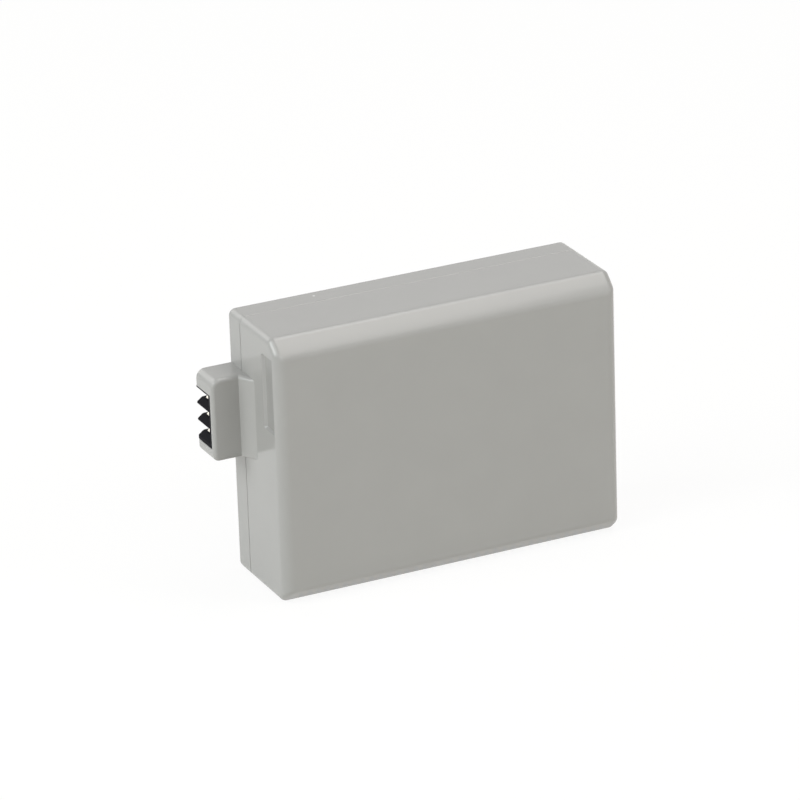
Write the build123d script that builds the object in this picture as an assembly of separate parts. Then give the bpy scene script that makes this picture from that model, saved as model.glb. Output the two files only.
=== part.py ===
"""Camera battery pack: two moulded shells with a terminal tab, and the cells and board that they hold.

The pack stands on its long narrow side. X runs along its length, with the terminal tab at the low end,
Y runs from the big bare front face to the back face, and Z is up. The origin is the middle of its
footprint, tab included. All sizes are in millimetres.
"""
import os

from build123d import *

# Outside of the case
body_length = 48.25
body_height = 36.0
body_depth = 14.9
cover_depth = 3.9
top_chamfer = 2.3
bottom_chamfer = 1.85
chamfer_crown = 0.08
chamfer_back_radius = 1.0
front_edge_radius = 1.4
end_edge_radius = 0.95
back_edge_radius = 0.75
wall = 0.95

# Joint between the two shells
seam_chamfer = 0.09
end_seam_gap = 0.06
lip_thickness = 0.4
lip_depth = 0.8
lip_clearance = 0.05

# Shallow recess in the end face, beside the rounded front edge
recess_bottom = 23.15
recess_height = 10.25
recess_width = 3.1
recess_depth = 0.35
recess_corner_radius = 0.4

# Terminal tab on the end of the front case
tab_length = 4.95
tab_depth = 5.0
tab_inset = 0.5
tab_bottom = 17.6
lower_lobe = 1.6
upper_lobe = 2.26
tab_top_radius = 1.2
tab_bottom_radius = 0.75
tab_edge_radius = 0.5
tab_back_radius = 0.25
ramp_length = 1.2
ramp_rise = 2.3

# Comb of the terminal block, with its slots open to the end and to the back
slot_count = 3
slot_height = 1.48
slot_length = 3.1
slot_reach = 3.68
rib_thickness = 0.82
lead_in_length = 0.72
lead_in_height = 0.55
lead_in_radius = 0.5
rib_tip_radius = 0.1
block_floor = 1.05
block_ceiling = 0.2
spine_thickness = 0.57
comb_recess = 0.04
block_clearance = 0.04
neck_cover = 0.3
flange_thickness = 0.8
flange_overlap = 0.8

# Spring contacts in the slots
contact_thickness = 0.2
contact_width = 2.6
contact_side_gap = 0.15
contact_mouth_gap = 0.95
contact_root = 0.3
contact_rise = 0.5
contact_tail_width = 1.2
contact_tail_end = 0.4
contact_clearance = 0.02

# Circuit board and its guides in the front case
board_thickness = 0.8
board_clearance = 0.2
guide_thickness = 0.8
guide_height = 1.2
guide_clearance = 0.05
component_space = 2.0

# Parts soldered to the board: width, height and thickness of each, and y and z from the board's middle
leg_thickness = 0.15
mosfet_size = (4.4, 3.0, 1.0)
mosfet_place = (-2.0, -5.0)
mosfet_legs_a_side = 4
mosfet_leg_pitch = 0.65
mosfet_leg_width = 0.3
mosfet_leg_reach = 1.0
controller_size = (1.6, 2.9, 1.1)
controller_place = (-3.2, 9.0)
controller_legs_a_side = 3
controller_leg_pitch = 0.95
controller_leg_width = 0.4
controller_leg_reach = 0.6
fuse_size = (1.6, 3.2, 0.6)
fuse_place = (3.4, -6.0)
thermistor_size = (0.8, 1.6, 0.8)
thermistor_place = (3.4, -1.0)
chip_pitch = 1.6
resistor_count = 4
resistor_size = (1.0, 0.5, 0.35)
resistor_place = (-4.4, 1.0)
capacitor_count = 3
capacitor_size = (1.0, 0.5, 0.5)
capacitor_place = (-2.6, 1.0)

# Cells and their packing
cell_clearance = 0.25
cell_side_flat = 0.1
can_edge_radius = 0.5
tape_thickness = 0.2
front_pad_thickness = 0.3
foam_thickness = 0.7
cushion_thickness = 1.0
packing_margin = 2.0
paper_thickness = 0.2
paper_clearance = 0.1

# Cell terminals and nickel strips
terminal_height = 0.5
rivet_radius = 1.1
gasket_width = 0.6
gasket_height = 0.3
pad_length = 4.0
pad_width = 3.0
pad_corner_radius = 0.4
pad_offset = 9.0
strip_thickness = 0.15
strip_width = 3.0
negative_run = 10.0
positive_run = 3.5
strip_tail_width = 2.4

# Lengths that differ by less than this are taken as equal
tolerance = 1e-4

# Planes that the pieces share
tab_end_x = -(body_length + tab_length) / 2
body_left = tab_end_x + tab_length
body_right = body_left + body_length
front_y = -body_depth / 2
back_y = body_depth / 2
parting_y = back_y - cover_depth
inner_left = body_left + wall
inner_right = body_right - wall
inner_front = front_y + wall
inner_back = back_y - wall
middle_z = body_height / 2

slot_pitch = slot_height + rib_thickness
pocket_bottom = tab_bottom + lower_lobe
top_slot_ceiling = pocket_bottom + block_floor + slot_count * slot_pitch - rib_thickness
pocket_top = top_slot_ceiling + block_ceiling
tab_top = pocket_top + upper_lobe
tab_back = back_y - tab_inset
tab_front = tab_back - tab_depth
spine_back = tab_back - slot_reach
spine_front = spine_back - spine_thickness
neck_back = inner_back - neck_cover
comb_tip = tab_end_x + comb_recess
slot_end = comb_tip + slot_length

board_front_x = inner_left + flange_thickness
board_back_x = board_front_x + board_thickness
cell_start = board_back_x + component_space
cell_end = inner_right - cushion_thickness
cell_length = cell_end - cell_start
cell_height = body_height - 2 * (wall + cell_clearance)
stack_depth = body_depth - 2 * wall - front_pad_thickness - foam_thickness
cell_depth = (stack_depth - tape_thickness) / 2
cell_radius = (cell_depth - cell_side_flat) / 2
cell_flat = cell_height - 2 * cell_radius
stack_front = inner_front + front_pad_thickness
stack_middle = stack_front + stack_depth / 2
front_cell_y = stack_front + cell_depth / 2
rear_cell_y = stack_front + stack_depth - cell_depth / 2
pad_z = middle_z + pad_offset
strip_x = cell_start - terminal_height - strip_thickness


def span(low, high):
    """Box between two opposite corners."""
    size = [b - a for a, b in zip(low, high)]
    centre = [(a + b) / 2 for a, b in zip(low, high)]
    return Pos(*centre) * Box(*size)


def area(low, high):
    """Rectangle between two opposite corners."""
    size = [b - a for a, b in zip(low, high)]
    centre = [(a + b) / 2 for a, b in zip(low, high)]
    return Pos(*centre) * Rectangle(*size)


def across(x):
    """Plane across the pack at x: its local axes are Y and Z, and it faces the far end."""
    return Plane.YZ.offset(x)


def along(y):
    """Plane along the pack at y: its local axes are X and Z, and it faces the front."""
    return Plane.XZ.offset(-y)


def near(value, target):
    """True where two values agree within the modelling tolerance."""
    return abs(value - target) < tolerance


def lies_at(edge, y):
    """True for an edge that lies in the plane along the pack at y."""
    return near(edge.position_at(0).Y, y) and near(edge.position_at(1).Y, y)


def slot_floor(index):
    """Height of the floor of a slot, counted from the lowest."""
    return pocket_bottom + block_floor + index * slot_pitch


# Case

def crowned_chamfer(start, end):
    """Chamfer of the case's outline that swells a little between its two corners."""
    return SagittaArc(start, end, -chamfer_crown)


def case_section():
    """Outline of the case seen along its length: square at the back, chamfered along the front."""
    top_back = (front_y + top_chamfer, body_height)
    top_front = (front_y, body_height - top_chamfer)
    bottom_front = (front_y, bottom_chamfer)
    bottom_back = (front_y + bottom_chamfer, 0)
    back = Polyline(bottom_back, (back_y, 0), (back_y, body_height), top_back)
    top = crowned_chamfer(top_back, top_front)
    front = Line(top_front, bottom_front)
    bottom = crowned_chamfer(bottom_front, bottom_back)
    return make_face(back + top + front + bottom)


def case_body():
    """Closed outer form of the case, with every edge rounded."""
    section = case_section()
    backs = [v for v in section.vertices() if not near(v.X, front_y) and not near(v.X, back_y)]
    section = fillet(backs, chamfer_back_radius)
    body = extrude(across(body_left) * section, body_length)
    corners = [e for e in body.edges().filter_by(Axis.Z) if near(e.center().Y, front_y)]
    body = fillet(corners, front_edge_radius)

    def at_end_or_front(edge):
        upright = near(abs(edge.tangent_at(0).Z), 1)
        runs_along = near(edge.center().X, (body_left + body_right) / 2)
        smooth = runs_along and not lies_at(edge, front_y)
        return not (upright or smooth or lies_at(edge, back_y))

    body = fillet(body.edges().filter_by(at_end_or_front), end_edge_radius)
    return fillet(body.edges().filter_by(lambda e: lies_at(e, back_y)), back_edge_radius)


def case_cavity():
    """Room inside the two shells, one wall in from the outer form."""
    section = offset(case_section(), amount=-wall, kind=Kind.INTERSECTION)
    return extrude(across(inner_left) * section, inner_right - inner_left)


def shell_half(body, keep):
    """One side of the case body, with the small bevel that shows as the parting line."""
    half = split(body, bisect_by=along(parting_y), keep=keep)
    seam = half.faces().filter_by(lambda f: near(f.center().Y, parting_y))[0]
    return chamfer(seam.outer_wire().edges(), seam_chamfer)


def seam_frame(thickness, depth):
    """Frame just outside the cavity's outline, reaching from the parting plane towards the front."""
    inside = area((inner_left, wall), (inner_right, body_height - wall))
    outside = area(
        (inner_left - thickness, wall - thickness),
        (inner_right + thickness, body_height - wall + thickness),
    )
    return extrude(along(parting_y) * (outside - inside), depth)


def end_gaps():
    """Narrow gaps outside the lip, where the cover's two ends stop just short of the front case."""
    low_z = end_edge_radius
    high_z = body_height - end_edge_radius
    high_y = parting_y + end_seam_gap
    lip_left = inner_left - lip_thickness
    lip_right = inner_right + lip_thickness
    left = span((body_left, parting_y, low_z), (lip_left, high_y, high_z))
    right = span((lip_right, parting_y, low_z), (body_right, high_y, high_z))
    return left + right


def block_window():
    """Room for the terminal block's neck through the end wall."""
    return span(
        (body_left - wall, spine_front - block_clearance, pocket_bottom - block_clearance),
        (inner_left + wall, neck_back + block_clearance, pocket_top + block_clearance),
    )


def tab_body():
    """Terminal tab with rounded end corners and the ramp that braces it against the end face."""
    outline = area((tab_end_x, tab_bottom), (body_left, tab_top))
    bottom_corner, top_corner = outline.vertices().group_by(Axis.X)[0].sort_by(Axis.Y)
    outline = fillet(bottom_corner, tab_bottom_radius)
    outline = fillet(outline.vertices().sort_by_distance(top_corner)[0], tab_top_radius)
    slab = extrude(along(tab_back) * outline, tab_depth)
    ramp_plan = Polyline(
        (body_left - ramp_length, tab_front),
        (body_left, tab_front - ramp_rise),
        (body_left, tab_front),
        close=True,
    )
    ramp = extrude(Plane.XY.offset(tab_bottom) * make_face(ramp_plan), tab_top - tab_bottom)
    tab = slab + ramp

    def front_rim(edge):
        middle = edge.center()
        at_level = near(middle.Z, tab_bottom) or near(middle.Z, tab_top)
        on_ramp = at_level and tab_front - ramp_rise < middle.Y < tab_front and middle.X < body_left
        in_corner = near(middle.X, body_left - ramp_length)
        return (lies_at(edge, tab_front) and not in_corner) or (on_ramp and not near(middle.X, body_left))

    def back_rim(edge):
        return lies_at(edge, tab_back) and not near(edge.center().X, body_left)

    tab = fillet(tab.edges().filter_by(front_rim), tab_edge_radius)
    return fillet(tab.edges().filter_by(back_rim), tab_back_radius)


def tab_pocket():
    """Room in the tab for the terminal block, open to the end, to the back and into the case."""
    return span(
        (tab_end_x - wall, spine_front - block_clearance, pocket_bottom - block_clearance),
        (body_left, back_y, pocket_top + block_clearance),
    )


def end_recess():
    """Shallow recess in the end face, which runs up to the rounded front edge."""
    low_y = front_y + front_edge_radius
    outline = area((low_y, recess_bottom), (low_y + recess_width, recess_bottom + recess_height))
    outline = fillet(outline.vertices().group_by(Axis.X)[-1], recess_corner_radius)
    return extrude(across(body_left) * outline, recess_depth)


def board_guides():
    """Slotted ribs inside the front case, above and below, that hold the circuit board upright."""
    low_x = inner_left
    high_x = board_back_x + guide_thickness
    high_y = parting_y - lip_depth - lip_clearance
    slot = board_solid(guide_clearance)
    ceiling = body_height - wall
    lower = span((low_x, inner_front, wall), (high_x, high_y, wall + guide_height))
    upper = span((low_x, inner_front, ceiling - guide_height), (high_x, high_y, ceiling))
    return ((lower + upper) & case_cavity()) - slot


def front_case(body):
    """Deep front shell with the terminal tab, the end recess, the seam rebate and the board guides."""
    shell = shell_half(body, Keep.TOP) - case_cavity()
    shell -= seam_frame(lip_thickness + lip_clearance, lip_depth + lip_clearance)
    shell -= end_recess()
    shell = shell + tab_body() - tab_pocket() - block_window()
    return shell + board_guides()


def rear_cover(body):
    """Shallow back shell with the lip that enters the front shell and a window for the terminal block."""
    shell = shell_half(body, Keep.BOTTOM) - case_cavity()
    lip = seam_frame(lip_thickness, lip_depth)
    doorway = span(
        (body_left, parting_y - lip_depth - lip_clearance, pocket_bottom - block_clearance),
        (inner_left, parting_y, pocket_top + block_clearance),
    )
    return shell - end_gaps() + (lip - doorway) - block_window()


# Terminals

def comb_profile():
    """Side view of the comb behind its spine: floor, ribs, thin ceiling, root and the slots' lead-ins."""
    lead_in_end = comb_tip + lead_in_length
    profile = area((comb_tip, pocket_bottom), (body_left, pocket_top))
    for index in range(slot_count):
        floor = slot_floor(index)
        lead_in = Polyline(
            (comb_tip, floor),
            (lead_in_end, floor),
            (comb_tip, floor - lead_in_height),
            close=True,
        )
        profile -= area((comb_tip, floor), (slot_end, floor + slot_height)) + make_face(lead_in)
    profile = fillet([v for v in profile.vertices() if near(v.X, lead_in_end)], lead_in_radius)
    tips = [
        v for v in profile.vertices()
        if near(v.X, comb_tip) and pocket_bottom + tolerance < v.Y < top_slot_ceiling - tolerance
    ]
    return fillet(tips, rib_tip_radius)


def terminal_block():
    """Comb with a spine, ribs and a floor, its neck through the end wall and its flange inside."""
    comb = extrude(along(tab_back) * comb_profile(), slot_reach)
    spine = span((comb_tip, spine_front, pocket_bottom), (body_left, spine_back, pocket_top))
    neck = span((body_left, spine_front, pocket_bottom), (inner_left, neck_back, pocket_top))
    flange = span(
        (inner_left, spine_front - flange_overlap, pocket_bottom - flange_overlap),
        (board_front_x, neck_back, pocket_top + flange_overlap),
    )
    block = comb + spine + neck + flange
    for index in range(slot_count):
        block -= contact_tail(index, contact_clearance)
    return block


def contact_middle():
    """Line along which the contacts lie, beside the comb's spine."""
    return spine_back + contact_side_gap + contact_width / 2


def contact_tail(index, clearance=0.0):
    """Straight tail of a contact, from its slot through the block and the board."""
    low_z = slot_floor(index) - clearance
    high_z = slot_floor(index) + contact_thickness + clearance
    half_width = contact_tail_width / 2 + clearance
    return span(
        (slot_end - contact_root, contact_middle() - half_width, low_z),
        (board_back_x + contact_tail_end, contact_middle() + half_width, high_z),
    )


def spring_contact(index):
    """Leaf that arches up from the floor of a slot, with a tail to the board."""
    level = slot_floor(index) + contact_thickness / 2
    root_x = slot_end - contact_root
    mouth_x = comb_tip + contact_mouth_gap
    crest = ((root_x + mouth_x) / 2, level + contact_rise)
    arch = ThreePointArc((mouth_x, level), crest, (root_x, level))
    foot = Line((root_x, level), (slot_end, level))
    leaf = trace(arch + foot, contact_thickness)
    low_edge = contact_middle() + contact_width / 2
    spring = extrude(along(low_edge) * leaf, contact_width)
    slot = span(
        (comb_tip, spine_back, slot_floor(index)),
        (slot_end, tab_back, slot_floor(index) + slot_height),
    )
    return (spring & slot) + contact_tail(index)


# Circuit board

def board_solid(growth=0.0):
    """Board across the pack, a clearance in from the walls all round, or its slot when grown."""
    section = offset(case_section(), amount=growth - wall - board_clearance, kind=Kind.INTERSECTION)
    return extrude(across(board_front_x - growth) * section, board_thickness + 2 * growth)


def circuit_board():
    """Protection board with a slit for each contact tail."""
    board = board_solid()
    for index in range(slot_count):
        board -= contact_tail(index, contact_clearance)
    return board


def on_board(place, size):
    """Small block soldered to the inner face of the board."""
    y = place[0]
    z = middle_z + place[1]
    width, height, thickness = size
    return span(
        (board_back_x, y - width / 2, z - height / 2),
        (board_back_x + thickness, y + width / 2, z + height / 2),
    )


def leaded_package(place, size, legs_a_side, leg_pitch, leg_width, leg_reach):
    """Moulded chip package with a row of flat legs along its two sides."""
    package = on_board(place, size)
    package = chamfer(package.faces().sort_by(Axis.X)[-1].edges(), leg_thickness)
    leg_size = (size[0] + 2 * leg_reach, leg_width, leg_thickness)
    for index in range(legs_a_side):
        rise = (index - (legs_a_side - 1) / 2) * leg_pitch
        package += on_board((place[0], place[1] + rise), leg_size)
    return package


def chip_row(count, place, size):
    """Row of like chips, kept as separate solids."""
    chips = [on_board((place[0], place[1] + index * chip_pitch), size) for index in range(count)]
    return Compound(children=chips)


# Cells

def cell_can(y):
    """Sealed flat can with rounded long sides, its terminal end towards the board."""
    section = RectangleRounded(cell_depth, cell_height, cell_radius)
    can = extrude(across(cell_start) * Pos(y, middle_z) * section, cell_length)
    return fillet(can.faces().sort_by(Axis.X)[-1].edges(), can_edge_radius)


def terminal_rivet(y):
    """Round negative terminal in the middle of a can's end."""
    return extrude(across(cell_start) * Pos(y, middle_z) * Circle(rivet_radius), -terminal_height)


def terminal_gasket(y):
    """Insulating ring round the negative terminal."""
    ring = Circle(rivet_radius + gasket_width) - Circle(rivet_radius)
    return extrude(across(cell_start) * Pos(y, middle_z) * ring, -gasket_height)


def terminal_pad(y):
    """Welding pad on the can, level with the rivet."""
    plate = RectangleRounded(pad_width, pad_length, pad_corner_radius)
    return extrude(across(cell_start) * Pos(y, pad_z) * plate, -terminal_height)


def end_sheet(x, thickness):
    """Sheet over the ends of both cells."""
    outline = RectangleRounded(stack_depth, cell_height, cell_radius)
    return extrude(across(x) * Pos(stack_middle, middle_z) * outline, thickness)


def cell_top_paper():
    """Insulating paper on the terminal ends, cut out round the gaskets and the pads."""
    paper = end_sheet(cell_start, -paper_thickness)
    hole = Circle(rivet_radius + gasket_width + paper_clearance)
    window = Rectangle(pad_width + 2 * paper_clearance, pad_length + 2 * paper_clearance)
    for y in (front_cell_y, rear_cell_y):
        paper -= extrude(across(cell_start) * Pos(y, middle_z) * hole, -paper_thickness)
        paper -= extrude(across(cell_start) * Pos(y, pad_z) * window, -paper_thickness)
    return paper


def flat_packing(y, thickness):
    """Film or foam on the flat of a cell, set in from the ends of the can."""
    sheet = area(
        (cell_start + packing_margin, middle_z - cell_flat / 2),
        (cell_end - packing_margin, middle_z + cell_flat / 2),
    )
    return extrude(along(y) * sheet, -thickness)


def nickel_strip(start, end, tail):
    """Flat strip over two terminals or from one terminal, with a tail bent over to the board."""
    middle = [(a + b) / 2 for a, b in zip(start, end)]
    outline = SlotCenterPoint(middle, end, strip_width)
    strip = extrude(across(strip_x) * outline, strip_thickness)
    foot = span(
        (board_back_x, tail[0] - strip_tail_width / 2, tail[1] - strip_thickness / 2),
        (strip_x, tail[0] + strip_tail_width / 2, tail[1] + strip_thickness / 2),
    )
    return strip + foot


front_rivet = (front_cell_y, middle_z)
rear_rivet = (rear_cell_y, middle_z)
front_pad = (front_cell_y, pad_z)
rear_pad = (rear_cell_y, pad_z)
negative_end = (front_cell_y, middle_z - negative_run)
positive_end = (rear_cell_y, pad_z + positive_run)
link_middle = (stack_middle, (middle_z + pad_z) / 2)

case = case_body()
pieces = {
    "front_case": front_case(case),
    "rear_cover": rear_cover(case),
    "terminal_block": terminal_block(),
    "negative_contact": spring_contact(0),
    "sense_contact": spring_contact(1),
    "positive_contact": spring_contact(2),
    "circuit_board": circuit_board(),
    "mosfet_pack": leaded_package(
        mosfet_place, mosfet_size, mosfet_legs_a_side, mosfet_leg_pitch, mosfet_leg_width, mosfet_leg_reach
    ),
    "protection_chip": leaded_package(
        controller_place, controller_size, controller_legs_a_side,
        controller_leg_pitch, controller_leg_width, controller_leg_reach,
    ),
    "chip_fuse": on_board(fuse_place, fuse_size),
    "thermistor": on_board(thermistor_place, thermistor_size),
    "chip_resistors": chip_row(resistor_count, resistor_place, resistor_size),
    "chip_capacitors": chip_row(capacitor_count, capacitor_place, capacitor_size),
    "front_cell": cell_can(front_cell_y),
    "rear_cell": cell_can(rear_cell_y),
    "front_cell_gasket": terminal_gasket(front_cell_y),
    "rear_cell_gasket": terminal_gasket(rear_cell_y),
    "front_cell_rivet": terminal_rivet(front_cell_y),
    "rear_cell_rivet": terminal_rivet(rear_cell_y),
    "front_cell_pad": terminal_pad(front_cell_y),
    "rear_cell_pad": terminal_pad(rear_cell_y),
    "cell_top_paper": cell_top_paper(),
    "series_link": nickel_strip(front_pad, rear_rivet, link_middle),
    "negative_strip": nickel_strip(front_rivet, negative_end, negative_end),
    "positive_strip": nickel_strip(rear_pad, positive_end, positive_end),
    "cell_tape": flat_packing(stack_middle - tape_thickness / 2, tape_thickness),
    "front_adhesive_pad": flat_packing(inner_front, front_pad_thickness),
    "rear_foam_pad": flat_packing(stack_front + stack_depth, foam_thickness),
    "end_cushion": end_sheet(cell_end, cushion_thickness),
}

os.makedirs("parts", exist_ok=True)
for name, piece in pieces.items():
    export_step(piece, f"parts/{name}.step")
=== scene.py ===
"""Camera battery pack: finishes for its moulded case, terminal comb, contacts, cells and circuit board."""
import math

import bmesh
import bpy
from bpy.props import FloatProperty, FloatVectorProperty, PointerProperty
from mathutils import Matrix, Vector


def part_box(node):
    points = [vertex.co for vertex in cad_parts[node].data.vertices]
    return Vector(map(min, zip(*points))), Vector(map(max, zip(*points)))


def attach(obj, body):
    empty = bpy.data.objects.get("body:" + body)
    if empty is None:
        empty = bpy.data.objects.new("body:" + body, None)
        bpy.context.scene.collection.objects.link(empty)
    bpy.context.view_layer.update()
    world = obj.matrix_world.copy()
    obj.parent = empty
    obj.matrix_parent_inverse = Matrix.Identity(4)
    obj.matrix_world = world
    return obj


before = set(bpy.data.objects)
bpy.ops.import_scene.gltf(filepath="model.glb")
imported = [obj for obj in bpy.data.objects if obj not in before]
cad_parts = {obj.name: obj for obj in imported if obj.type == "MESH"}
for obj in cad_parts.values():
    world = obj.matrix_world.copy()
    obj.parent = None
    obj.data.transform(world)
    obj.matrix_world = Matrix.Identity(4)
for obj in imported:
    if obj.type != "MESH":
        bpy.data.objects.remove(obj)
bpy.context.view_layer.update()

bl_info = {
    "name": "Camera Battery",
    "version": (1, 0, 0),
    "blender": (4, 5, 0),
    "location": "3D View > Sidebar > Battery",
    "description": "Dresses a camera battery pack and sets it on a white studio floor",
    "category": "Object",
}

MILLIMETRE = 0.001
front_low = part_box("front_case")[0]
cover_low, cover_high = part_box("rear_cover")
CORNER_STEPS = 8
SHARP_ANGLE = math.radians(30)
WHITE = (1.0, 1.0, 1.0, 1.0)


def length_property(name, description, millimetres):
    """A length that the sidebar shows in the scene's units."""
    return FloatProperty(
        name=name, description=description, default=millimetres * MILLIMETRE, min=0.0,
        precision=5, subtype="DISTANCE", unit="LENGTH",
    )


def share_property(name, description, default):
    """A value from 0 to 1."""
    return FloatProperty(
        name=name, description=description, default=default, min=0.0, max=1.0, subtype="FACTOR",
    )


def colour_property(name, description, default):
    """A linear colour."""
    return FloatVectorProperty(
        name=name, description=description, default=default, size=3, min=0.0, max=1.0, subtype="COLOR",
    )


def angle_property(name, description, degrees):
    """An angle that the sidebar shows in degrees."""
    return FloatProperty(
        name=name, description=description, default=math.radians(degrees), subtype="ANGLE", unit="ROTATION",
    )


class CaseSettings(bpy.types.PropertyGroup):
    """Finish of the two moulded shells"""

    colour: colour_property("Plastic", "Grey of the moulded plastic", (0.338, 0.335, 0.322))
    mottle: share_property("Mottle", "How much the grey clouds over", 0.03)
    gloss_roughness: share_property("Roughness", "Roughness of the satin surface", 0.16)
    grain_height: length_property("Grain Height", "Depth of the fine moulded grain", 0.0015)
    recess_start: length_property("Recess Start", "From the front face to the recess in the end", 1.4)
    recess_width: length_property("Recess Width", "Width of the recess", 3.1)
    recess_bottom: length_property("Recess Bottom", "Height of the recess's lower edge", 23.15)
    recess_height: length_property("Recess Height", "Height of the recess", 10.25)
    recess_depth: length_property("Recess Depth", "Depth of the recess, and width of its sloped wall", 0.35)
    recess_corner: length_property("Recess Corner", "Rounding of the recess's corners", 0.4)
    # Darker grey that is painted on the recess's floor as shade; the plastic there is the same as elsewhere.
    recess_painted_shade: colour_property("Recess Floor", "Grey of the recess's floor", (0.286, 0.283, 0.272))
    fleck_colour: colour_property("Dust", "Colour of the speck of dust on the top", (0.62, 0.62, 0.60))
    fleck_radius: length_property("Dust Radius", "Size of the speck of dust", 0.2)
    fleck_along: length_property("Dust Along", "From the cover's terminal end to the speck", 11.35)
    fleck_inset: length_property("Dust Inset", "From the cover's back to the speck", 1.86)


class TerminalSettings(bpy.types.PropertyGroup):
    """Finish of the comb and its contacts"""

    comb_colour: colour_property("Comb", "Black of the terminal comb", (0.004, 0.004, 0.006))
    comb_roughness: share_property("Comb Roughness", "Roughness of the black plastic", 0.45)
    comb_shine: share_property("Comb Shine", "Strength of the black plastic's reflections", 0.03)
    contact_colour: colour_property("Contacts", "Plating of the spring contacts", (0.68, 0.65, 0.58))
    contact_roughness: share_property("Contact Roughness", "Roughness of the plating", 0.3)


class InsideSettings(bpy.types.PropertyGroup):
    """Finish of the pieces that the case holds"""

    can_colour: colour_property("Cans", "Aluminium of the cell cans", (0.78, 0.79, 0.80))
    nickel_colour: colour_property("Nickel", "Strips and cell terminals", (0.66, 0.64, 0.60))
    board_colour: colour_property("Board", "Solder mask of the circuit board", (0.010, 0.085, 0.030))
    chip_colour: colour_property("Chips", "Black chip packages", (0.015, 0.015, 0.017))
    ceramic_colour: colour_property("Ceramic", "Small ceramic chips", (0.30, 0.21, 0.13))
    paper_colour: colour_property("Paper", "Insulating paper", (0.70, 0.67, 0.56))
    film_colour: colour_property("Film", "Adhesive film", (0.76, 0.70, 0.50))
    foam_colour: colour_property("Foam", "Packing foam", (0.020, 0.020, 0.022))
    seal_colour: colour_property("Seals", "Rings round the cell terminals", (0.03, 0.03, 0.034))


class StageSettings(bpy.types.PropertyGroup):
    """Camera, lights and floor"""

    view_azimuth: angle_property("Azimuth", "Where the camera stands, below 0 to the left", -24.954)
    view_elevation: angle_property("Elevation", "How far the camera stands above the horizon", 22.389)
    view_roll: angle_property("Roll", "Turn of the camera about its own axis", -1.93)
    view_distance: length_property("Distance", "From the camera to its aim", 697.4)
    view_aim: FloatVectorProperty(
        name="Aim", description="Point in the middle of the picture", size=3, subtype="TRANSLATION",
        unit="LENGTH", default=(-0.5 * MILLIMETRE, 1.6 * MILLIMETRE, 21.0 * MILLIMETRE),
    )
    lens: FloatProperty(
        name="Lens", description="Focal length on a 36 mm sensor", default=243.45, min=1.0, unit="CAMERA",
    )
    floor_radius: length_property("Floor Radius", "Reach of the floor round the pack", 3000)
    floor_colour: colour_property("Floor", "Colour of the floor", (0.97, 0.96, 0.92))
    floor_lift: share_property("Floor Lift", "How far the floor's own look is lifted to white", 0.9)
    softbox_distance: length_property("Softbox Distance", "From each softbox to the pack", 900)
    softbox_size: length_property("Softbox Size", "Side of each square softbox", 450)


# Node helpers

def add_node(tree, kind, **values):
    """A new node with its settings and its unlinked inputs filled in."""
    node = tree.nodes.new(kind)
    for name, value in values.items():
        if name in node.inputs:
            node.inputs[name].default_value = value
        else:
            setattr(node, name, value)
    return node


def new_material(name):
    """An empty node material with its shader and output, linked."""
    material = bpy.data.materials.new(name)
    material.use_nodes = True
    tree = material.node_tree
    tree.nodes.clear()
    shader = tree.nodes.new("ShaderNodeBsdfPrincipled")
    output = tree.nodes.new("ShaderNodeOutputMaterial")
    tree.links.new(shader.outputs["BSDF"], output.inputs["Surface"])
    return material, tree, shader


def shader_of(material):
    """A material's own shader."""
    return next(node for node in material.node_tree.nodes if node.type == "BSDF_PRINCIPLED")


def opaque(colour, brightness=1.0):
    """A linear colour as four numbers, made lighter or darker."""
    return (*(min(1.0, channel * brightness) for channel in colour), 1.0)


def new_group(name, inputs, outputs):
    """An empty shader node group with named sockets."""
    group = bpy.data.node_groups.new(name, "ShaderNodeTree")
    for socket, default in inputs.items():
        added = group.interface.new_socket(socket, in_out="INPUT", socket_type="NodeSocketFloat")
        added.default_value = default
    for socket in outputs:
        group.interface.new_socket(socket, in_out="OUTPUT", socket_type="NodeSocketFloat")
    return group, group.nodes.new("NodeGroupInput"), group.nodes.new("NodeGroupOutput")


def surface_grain_group():
    """Cloudy tone and fine grain, shared by the moulded, printed and foamed pieces."""
    existing = bpy.data.node_groups.get("surface_grain")
    if existing:
        return existing
    inputs = {"Cloud Scale": 120.0, "Grain Scale": 6000.0}
    group, given, result = new_group("surface_grain", inputs, ("Cloud", "Grain"))
    place = group.nodes.new("ShaderNodeTexCoord")
    cloud = add_node(group, "ShaderNodeTexNoise", Detail=3.0, Roughness=0.55)
    grain = add_node(group, "ShaderNodeTexNoise", Detail=2.0, Roughness=0.5)
    for noise, scale in ((cloud, "Cloud Scale"), (grain, "Grain Scale")):
        group.links.new(place.outputs["Object"], noise.inputs["Vector"])
        group.links.new(given.outputs[scale], noise.inputs["Scale"])
    group.links.new(cloud.outputs["Fac"], result.inputs["Cloud"])
    group.links.new(grain.outputs["Fac"], result.inputs["Grain"])
    return group


def drawn_lines_group():
    """Fine lines along the pack's length, as drawing and rolling leave in metal."""
    existing = bpy.data.node_groups.get("drawn_lines")
    if existing:
        return existing
    group, given, result = new_group("drawn_lines", {"Line Scale": 4000.0}, ("Lines",))
    place = group.nodes.new("ShaderNodeTexCoord")
    stretch = add_node(group, "ShaderNodeMapping", Scale=(0.02, 1.0, 1.0))
    lines = add_node(group, "ShaderNodeTexNoise", Detail=2.0, Roughness=0.6)
    group.links.new(place.outputs["Object"], stretch.inputs["Vector"])
    group.links.new(stretch.outputs["Vector"], lines.inputs["Vector"])
    group.links.new(given.outputs["Line Scale"], lines.inputs["Scale"])
    group.links.new(lines.outputs["Fac"], result.inputs["Lines"])
    return group


def place_group(tree, group, **values):
    """A node that holds a group, with its own values."""
    node = tree.nodes.new("ShaderNodeGroup")
    node.node_tree = group
    for name, value in values.items():
        node.inputs[name.replace("_", " ")].default_value = value
    return node


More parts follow.
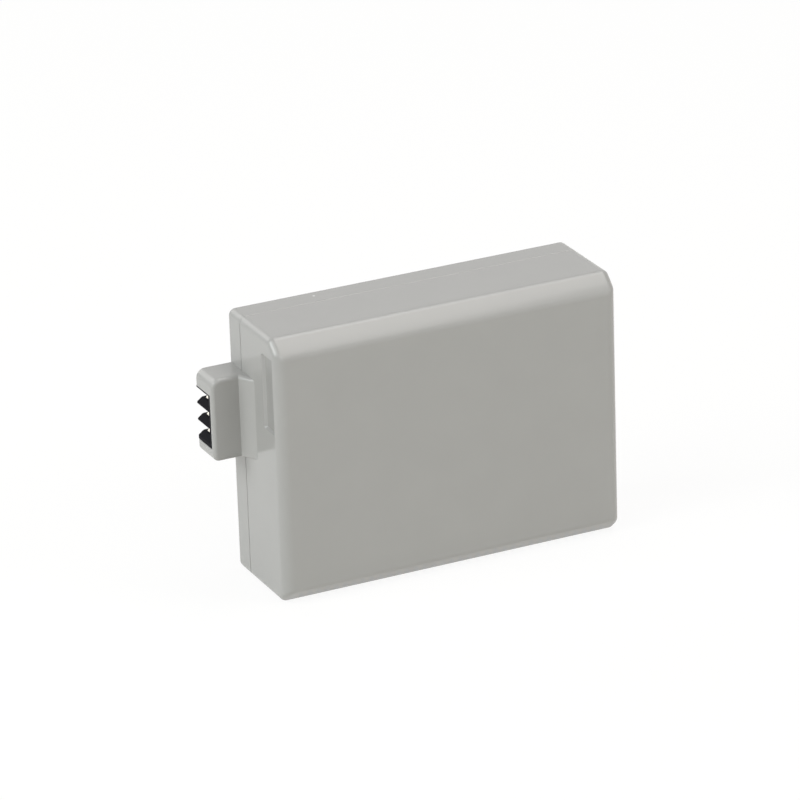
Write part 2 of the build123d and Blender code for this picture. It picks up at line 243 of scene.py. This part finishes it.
def mix_colours(tree, mask):
    """A colour mix driven by a mask: its two colour inputs and its output."""
    mix = add_node(tree, "ShaderNodeMix", data_type="RGBA")
    tree.links.new(mask, mix.inputs["Factor"])
    low, high = (socket for socket in mix.inputs if socket.type == "RGBA")
    result = next(socket for socket in mix.outputs if socket.type == "RGBA")
    return low, high, result


def vary_colour(tree, shader, mask, colour, spread):
    """Base colour that goes a share darker and lighter with a mask."""
    low, high, result = mix_colours(tree, mask)
    low.default_value = opaque(colour, 1.0 - spread)
    high.default_value = opaque(colour, 1.0 + spread)
    tree.links.new(result, shader.inputs["Base Color"])


def map_range(tree, value, given, wanted):
    """A value moved from one range to another."""
    node = tree.nodes.new("ShaderNodeMapRange")
    for name, limit in zip(("From Min", "From Max", "To Min", "To Max"), (*given, *wanted)):
        node.inputs[name].default_value = limit
    tree.links.new(value, node.inputs["Value"])
    return node.outputs["Result"]


def vary_roughness(tree, shader, mask, roughness, smooth, rough):
    """Roughness that runs with a mask between two shares of its value."""
    wanted = (roughness * smooth, min(1.0, roughness * rough))
    tree.links.new(map_range(tree, mask, (0.0, 1.0), wanted), shader.inputs["Roughness"])


def raise_grain(tree, shader, height, distance):
    """Bump of a given height on the surface."""
    bump = add_node(tree, "ShaderNodeBump", Strength=1.0, Distance=distance)
    tree.links.new(height, bump.inputs["Height"])
    tree.links.new(bump.outputs["Normal"], shader.inputs["Normal"])


def moulded_plastic(name, colour, mottle, roughness, grain_height):
    """Injection-moulded plastic: a slightly cloudy tone, uneven satin and a fine grain."""
    material, tree, shader = new_material(name)
    surface = place_group(tree, surface_grain_group(), Cloud_Scale=160.0, Grain_Scale=7000.0)
    vary_colour(tree, shader, surface.outputs["Cloud"], colour, mottle)
    vary_roughness(tree, shader, surface.outputs["Cloud"], roughness, smooth=0.85, rough=1.15)
    raise_grain(tree, shader, surface.outputs["Grain"], grain_height)
    return material


def drawn_metal(name, colour, roughness):
    """Drawn or rolled metal with fine lines along the pack."""
    material, tree, shader = new_material(name)
    shader.inputs["Metallic"].default_value = 1.0
    metal = place_group(tree, drawn_lines_group(), Line_Scale=4000.0)
    vary_colour(tree, shader, metal.outputs["Lines"], colour, spread=0.09)
    vary_roughness(tree, shader, metal.outputs["Lines"], roughness, smooth=0.8, rough=1.3)
    raise_grain(tree, shader, metal.outputs["Lines"], distance=0.001 * MILLIMETRE)
    return material


def soft_sheet(name, colour, mottle, roughness, grain_height):
    """Paper, film or foam: an uneven tone and a coarser grain."""
    material, tree, shader = new_material(name)
    surface = place_group(tree, surface_grain_group(), Cloud_Scale=500.0, Grain_Scale=2500.0)
    vary_colour(tree, shader, surface.outputs["Grain"], colour, mottle)
    vary_roughness(tree, shader, surface.outputs["Cloud"], roughness, smooth=0.9, rough=1.1)
    raise_grain(tree, shader, surface.outputs["Grain"], grain_height)
    return material


def dress_nodes(nodes, material):
    """Gives nodes that keep their own shape a finish."""
    for node in nodes:
        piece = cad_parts[node]
        piece.data.materials.clear()
        piece.data.materials.append(material)


def largest_of(tree, sockets):
    """The largest of several values."""
    largest = sockets[0]
    for socket in sockets[1:]:
        pair = add_node(tree, "ShaderNodeMath", operation="MAXIMUM")
        tree.links.new(largest, pair.inputs[0])
        tree.links.new(socket, pair.inputs[1])
        largest = pair.outputs["Value"]
    return largest


def place_from(tree, centre):
    """Object coordinates counted from a given point."""
    coordinates = tree.nodes.new("ShaderNodeTexCoord")
    centred = add_node(tree, "ShaderNodeMapping", Location=-Vector(centre))
    tree.links.new(coordinates.outputs["Object"], centred.inputs["Vector"])
    return centred.outputs["Vector"]


def lay_over(material, mask, colour):
    """Lays a colour over a material's own where a mask is 1."""
    tree = material.node_tree
    shader = shader_of(material)
    under = shader.inputs["Base Color"].links[0].from_socket
    low, high, result = mix_colours(tree, mask)
    high.default_value = opaque(colour)
    tree.links.new(under, low)
    tree.links.new(result, shader.inputs["Base Color"])


def lay_fleck(material, place, radius, colour):
    """Lays one round speck of dust over a material's colour."""
    tree = material.node_tree
    away = add_node(tree, "ShaderNodeVectorMath", operation="LENGTH")
    tree.links.new(place_from(tree, place), away.inputs[0])
    fade = map_range(tree, away.outputs["Value"], (radius / 2, radius), (1.0, 0.0))
    lay_over(material, fade, colour)


def lay_box(material, low, high, colour):
    """Lays a colour over the part of a material's surface that lies in a box."""
    tree = material.node_tree
    shares = add_node(tree, "ShaderNodeVectorMath", operation="DIVIDE")
    shares.inputs[1].default_value = (high - low) / 2
    distances = add_node(tree, "ShaderNodeVectorMath", operation="ABSOLUTE")
    axes = tree.nodes.new("ShaderNodeSeparateXYZ")
    inside = add_node(tree, "ShaderNodeMath", operation="LESS_THAN")
    inside.inputs[1].default_value = 1.0
    tree.links.new(place_from(tree, (low + high) / 2), shares.inputs[0])
    tree.links.new(shares.outputs["Vector"], distances.inputs[0])
    tree.links.new(distances.outputs["Vector"], axes.inputs["Vector"])
    tree.links.new(largest_of(tree, list(axes.outputs)), inside.inputs[0])
    lay_over(material, inside.outputs["Value"], colour)


def recess_shade_box(settings):
    """Box round the recess's floor, where a darker grey is painted on as shade: from halfway down the walls
    to behind it, without the sloped strip.
    """
    depth = settings.recess_depth
    start = front_low.y + settings.recess_start
    low = Vector((cover_low.x + depth / 2, start, settings.recess_bottom + depth))
    high = Vector((
        cover_low.x + 2 * depth,
        start + settings.recess_width - depth,
        settings.recess_bottom + settings.recess_height,
    ))
    return low, high


def case_material():
    """The grey plastic of both shells, with a speck of dust on the top and painted shade on the recess's
    floor, made once.
    """
    settings = bpy.context.scene.battery_case
    existing = bpy.data.materials.get("satin_grey_plastic")
    if existing:
        return existing
    material = moulded_plastic(
        "satin_grey_plastic", settings.colour, settings.mottle, settings.gloss_roughness,
        settings.grain_height,
    )
    place = (cover_low.x + settings.fleck_along, cover_high.y - settings.fleck_inset, cover_high.z)
    lay_fleck(material, place, settings.fleck_radius, settings.fleck_colour)
    # Painted shade: the recess's floor gets a darker grey than the rest of the shell.
    lay_box(material, *recess_shade_box(settings), settings.recess_painted_shade)
    return material


def extrude_end(shape, face, move):
    """Draws a shape's end face out along a line and returns the new end."""
    start = [face, *face.edges, *face.verts]
    grown = bmesh.ops.extrude_face_region(shape, geom=start)["geom"]
    moved = [part for part in grown if isinstance(part, bmesh.types.BMVert)]
    bmesh.ops.translate(shape, verts=moved, vec=move)
    return next(part for part in grown if isinstance(part, bmesh.types.BMFace))


def spin_end(shape, face, centre, axis, angle, steps):
    """Turns a shape's end face about an axis and returns the new end."""
    start = [face, *face.edges, *face.verts]
    grown = bmesh.ops.spin(shape, geom=start, cent=centre, axis=axis, angle=angle, steps=steps)["geom_last"]
    return next(part for part in grown if isinstance(part, bmesh.types.BMFace))


class BATTERY_OT_recess_slope(bpy.types.Operator):
    """Slope the recess's back and bottom walls, as a strip of the same plastic that lies in their corner"""

    bl_idname = "battery.recess_slope"
    bl_label = "Recess Slope"

    def execute(self, context):
        settings = context.scene.battery_case
        end_x = cover_low.x
        floor_x = end_x + settings.recess_depth
        wall_y = front_low.y + settings.recess_start + settings.recess_width
        top = settings.recess_bottom + settings.recess_height
        corner = settings.recess_corner
        shape = bmesh.new()
        outline = ((end_x, wall_y), (floor_x, wall_y - settings.recess_depth), (floor_x, wall_y))
        end = shape.faces.new([shape.verts.new((x, y, top)) for x, y in outline])
        end = extrude_end(shape, end, (0.0, 0.0, corner - settings.recess_height))
        centre = (end_x, wall_y - corner, settings.recess_bottom + corner)
        end = spin_end(shape, end, centre, (1.0, 0.0, 0.0), -math.pi / 2, CORNER_STEPS)
        extrude_end(shape, end, (0.0, corner - settings.recess_width, 0.0))
        bmesh.ops.recalc_face_normals(shape, faces=shape.faces)
        if not all(edge.is_manifold for edge in shape.edges):
            raise RuntimeError("the recess's sloped wall isn't closed")
        for face in shape.faces:
            face.smooth = True
        mesh = bpy.data.meshes.new("recess_slope")
        shape.to_mesh(mesh)
        shape.free()
        mesh.set_sharp_from_angle(angle=SHARP_ANGLE)
        mesh.materials.append(case_material())
        piece = bpy.data.objects.new("recess_slope", mesh)
        context.scene.collection.objects.link(piece)
        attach(piece, "root")
        return {"FINISHED"}


class BATTERY_OT_front_case(bpy.types.Operator):
    """Finish the front shell with its terminal tab"""

    bl_idname = "battery.front_case"
    bl_label = "Front Case"

    def execute(self, context):
        dress_nodes(("front_case",), case_material())
        return {"FINISHED"}


class BATTERY_OT_rear_cover(bpy.types.Operator):
    """Finish the back shell"""

    bl_idname = "battery.rear_cover"
    bl_label = "Rear Cover"

    def execute(self, context):
        dress_nodes(("rear_cover",), case_material())
        return {"FINISHED"}


class BATTERY_OT_terminal_block(bpy.types.Operator):
    """Finish the black comb in the terminal tab"""

    bl_idname = "battery.terminal_block"
    bl_label = "Terminal Comb"

    def execute(self, context):
        settings = context.scene.battery_terminals
        material = moulded_plastic(
            "black_comb_plastic", settings.comb_colour, mottle=0.15, roughness=settings.comb_roughness,
            grain_height=0.002 * MILLIMETRE,
        )
        shader_of(material).inputs["Specular IOR Level"].default_value = settings.comb_shine
        dress_nodes(("terminal_block",), material)
        return {"FINISHED"}


class BATTERY_OT_contacts(bpy.types.Operator):
    """Finish the sprung contacts in the comb's slots"""

    bl_idname = "battery.contacts"
    bl_label = "Spring Contacts"

    def execute(self, context):
        settings = context.scene.battery_terminals
        material = drawn_metal("plated_contact", settings.contact_colour, settings.contact_roughness)
        dress_nodes(("negative_contact", "sense_contact", "positive_contact"), material)
        return {"FINISHED"}


class BATTERY_OT_cells(bpy.types.Operator):
    """Finish the two cells, their terminals, strips and packing"""

    bl_idname = "battery.cells"
    bl_label = "Cells and Packing"

    def execute(self, context):
        settings = context.scene.battery_inside
        can = drawn_metal("drawn_can", settings.can_colour, roughness=0.34)
        dress_nodes(("front_cell", "rear_cell"), can)
        nickel = drawn_metal("rolled_nickel", settings.nickel_colour, roughness=0.28)
        dress_nodes(("series_link", "negative_strip", "positive_strip"), nickel)
        dress_nodes(("front_cell_rivet", "rear_cell_rivet", "front_cell_pad", "rear_cell_pad"), nickel)
        seal = moulded_plastic(
            "seal_plastic", settings.seal_colour, mottle=0.1, roughness=0.5, grain_height=0.002 * MILLIMETRE,
        )
        dress_nodes(("front_cell_gasket", "rear_cell_gasket"), seal)
        paper = soft_sheet(
            "fibre_paper", settings.paper_colour, mottle=0.12, roughness=0.8, grain_height=0.01 * MILLIMETRE,
        )
        dress_nodes(("cell_top_paper",), paper)
        film = soft_sheet(
            "adhesive_film", settings.film_colour, mottle=0.05, roughness=0.4,
            grain_height=0.002 * MILLIMETRE,
        )
        dress_nodes(("cell_tape", "front_adhesive_pad"), film)
        foam = soft_sheet(
            "packing_foam", settings.foam_colour, mottle=0.4, roughness=0.95, grain_height=0.06 * MILLIMETRE,
        )
        dress_nodes(("rear_foam_pad", "end_cushion"), foam)
        return {"FINISHED"}


class BATTERY_OT_board(bpy.types.Operator):
    """Finish the protection board and what is soldered to it"""

    bl_idname = "battery.board"
    bl_label = "Circuit Board"

    def execute(self, context):
        settings = context.scene.battery_inside
        mask = moulded_plastic(
            "solder_mask", settings.board_colour, mottle=0.2, roughness=0.3, grain_height=0.004 * MILLIMETRE,
        )
        dress_nodes(("circuit_board",), mask)
        package = moulded_plastic(
            "chip_package", settings.chip_colour, mottle=0.2, roughness=0.5, grain_height=0.003 * MILLIMETRE,
        )
        dress_nodes(("mosfet_pack", "protection_chip"), package)
        ceramic = moulded_plastic(
            "chip_ceramic", settings.ceramic_colour, mottle=0.1, roughness=0.45,
            grain_height=0.002 * MILLIMETRE,
        )
        dress_nodes(("chip_fuse", "thermistor", "chip_resistors", "chip_capacitors"), ceramic)
        return {"FINISHED"}


# Stage

def seen_directly(tree):
    """1 on rays that show a surface itself or its image, and 0 on the diffuse light that it gives."""
    path = tree.nodes.new("ShaderNodeLightPath")
    kinds = ("Is Camera Ray", "Is Glossy Ray", "Is Transmission Ray")
    return largest_of(tree, [path.outputs[kind] for kind in kinds])


def white_surroundings():
    """World that looks white, in the picture and in the gloss, and leaves the light to the softboxes."""
    world = bpy.data.worlds.new("white_surroundings")
    bpy.context.scene.world = world
    world.use_nodes = True
    tree = world.node_tree
    tree.nodes.clear()
    output = tree.nodes.new("ShaderNodeOutputWorld")
    white = add_node(tree, "ShaderNodeBackground", Color=WHITE)
    tree.links.new(seen_directly(tree), white.inputs["Strength"])
    tree.links.new(white.outputs["Background"], output.inputs["Surface"])


def floor_material(colour, lift):
    """Pale floor that keeps the pack's shadow and whose look is lifted to white."""
    material, tree, shader = new_material("white_floor")
    shader.inputs["Base Color"].default_value = opaque(colour)
    shader.inputs["Roughness"].default_value = 0.9
    shader.inputs["Specular IOR Level"].default_value = 0.0
    output = next(node for node in tree.nodes if node.type == "OUTPUT_MATERIAL")
    white = add_node(tree, "ShaderNodeEmission", Color=WHITE, Strength=1.0)
    share = add_node(tree, "ShaderNodeMath", operation="MULTIPLY")
    share.inputs[1].default_value = lift
    mix = tree.nodes.new("ShaderNodeMixShader")
    tree.links.new(seen_directly(tree), share.inputs[0])
    tree.links.new(share.outputs["Value"], mix.inputs["Fac"])
    tree.links.new(shader.outputs["BSDF"], mix.inputs[1])
    tree.links.new(white.outputs["Emission"], mix.inputs[2])
    tree.links.new(mix.outputs["Shader"], output.inputs["Surface"])
    return material


def direction(azimuth, elevation):
    """Unit vector towards a place round the pack, azimuth 0 in front and 90 to the right."""
    return Vector((
        math.sin(azimuth) * math.cos(elevation),
        -math.cos(azimuth) * math.cos(elevation),
        math.sin(elevation),
    ))


def lay_floor(settings):
    """Round floor under the pack."""
    shape = bmesh.new()
    bmesh.ops.create_circle(shape, cap_ends=True, segments=96, radius=settings.floor_radius)
    mesh = bpy.data.meshes.new("studio_floor")
    shape.to_mesh(mesh)
    shape.free()
    mesh.materials.append(floor_material(settings.floor_colour, settings.floor_lift))
    floor = bpy.data.objects.new("studio_floor", mesh)
    bpy.context.scene.collection.objects.link(floor)


def add_softbox(settings, name, azimuth, elevation, power, colour, in_gloss):
    """Square soft light that looks at the pack."""
    data = bpy.data.lights.new(name, "AREA")
    data.shape = "SQUARE"
    data.size = settings.softbox_size
    data.energy = power
    data.color = colour
    lamp = bpy.data.objects.new(name, data)
    lamp.visible_glossy = in_gloss
    bpy.context.scene.collection.objects.link(lamp)
    towards = direction(math.radians(azimuth), math.radians(elevation))
    aim = Vector((0.0, 0.0, cover_high.z / 2))
    lamp.location = aim + towards * settings.softbox_distance
    lamp.rotation_mode = "QUATERNION"
    lamp.rotation_quaternion = (-towards).to_track_quat("-Z", "Y")


def add_camera(settings):
    """Camera at the photograph's viewing angle."""
    data = bpy.data.cameras.new("camera")
    data.lens = settings.lens
    data.clip_start = 0.01
    data.clip_end = 10.0
    camera = bpy.data.objects.new("camera", data)
    bpy.context.scene.collection.objects.link(camera)
    towards = direction(settings.view_azimuth, settings.view_elevation)
    place = Matrix.Translation(Vector(settings.view_aim) + towards * settings.view_distance)
    look = (-towards).to_track_quat("-Z", "Y").to_matrix().to_4x4()
    camera.matrix_world = place @ look @ Matrix.Rotation(settings.view_roll, 4, "Z")
    bpy.context.scene.camera = camera


# Name, azimuth and elevation in degrees, power in watts, colour, and whether the gloss shows it.
# The low ones stay out of the gloss, because the top would mirror them at a flat angle.
SOFTBOXES = (
    ("left_softbox", -70.0, 18.0, 2.3, (0.93, 0.98, 1.0), False),
    ("front_softbox", 0.0, 45.0, 1.3, (1.0, 1.0, 0.98), True),
    ("right_softbox", 50.0, 20.0, 2.9, (1.0, 0.99, 0.96), False),
    ("back_softbox", 180.0, 20.0, 1.2, (1.0, 0.99, 0.97), False),
    ("back_left_softbox", -160.0, 28.0, 0.8, (1.0, 0.99, 0.97), True),
    ("upper_left_softbox", -92.0, 36.0, 3.5, (0.96, 0.99, 1.0), True),
    ("high_left_softbox", -60.0, 52.0, 1.4, (0.97, 0.99, 1.0), True),
    ("high_right_softbox", 60.0, 68.0, 1.95, (1.0, 0.97, 0.95), True),
    ("high_back_softbox", 120.0, 68.0, 1.5, (1.0, 0.97, 0.98), True),
)


class BATTERY_OT_stage(bpy.types.Operator):
    """Set the pack on a white floor under soft light, with the camera in front"""

    bl_idname = "battery.stage"
    bl_label = "Stage"

    def execute(self, context):
        settings = context.scene.battery_stage
        context.scene.view_settings.view_transform = "Standard"
        white_surroundings()
        lay_floor(settings)
        for softbox in SOFTBOXES:
            add_softbox(settings, *softbox)
        add_camera(settings)
        return {"FINISHED"}


OPERATORS = (
    BATTERY_OT_front_case,
    BATTERY_OT_recess_slope,
    BATTERY_OT_rear_cover,
    BATTERY_OT_terminal_block,
    BATTERY_OT_contacts,
    BATTERY_OT_cells,
    BATTERY_OT_board,
    BATTERY_OT_stage,
)
GROUPS = {
    "battery_case": CaseSettings,
    "battery_terminals": TerminalSettings,
    "battery_inside": InsideSettings,
    "battery_stage": StageSettings,
}


class BATTERY_PT_pack(bpy.types.Panel):
    """Sizes, colours and steps of the camera battery"""

    bl_idname = "BATTERY_PT_pack"
    bl_label = "Camera Battery"
    bl_space_type = "VIEW_3D"
    bl_region_type = "UI"
    bl_category = "Battery"

    def draw(self, context):
        for operator in OPERATORS:
            self.layout.operator(operator.bl_idname)
        for group in GROUPS:
            settings = getattr(context.scene, group)
            box = self.layout.box()
            for name in settings.__annotations__:
                box.prop(settings, name)


def register():
    """Make the settings, steps and panel known to Blender."""
    for kind in (*GROUPS.values(), *OPERATORS, BATTERY_PT_pack):
        bpy.utils.register_class(kind)
    for group, kind in GROUPS.items():
        setattr(bpy.types.Scene, group, PointerProperty(type=kind))


def unregister():
    """Take them away again."""
    for group in GROUPS:
        delattr(bpy.types.Scene, group)
    for kind in (BATTERY_PT_pack, *reversed(OPERATORS), *reversed(list(GROUPS.values()))):
        bpy.utils.unregister_class(kind)


def main():
    """Dress the pack and set the stage."""
    register()
    bpy.ops.battery.front_case()
    bpy.ops.battery.recess_slope()
    bpy.ops.battery.rear_cover()
    bpy.ops.battery.terminal_block()
    bpy.ops.battery.contacts()
    bpy.ops.battery.cells()
    bpy.ops.battery.board()
    bpy.ops.battery.stage()


if __name__ == "__main__":
    main()
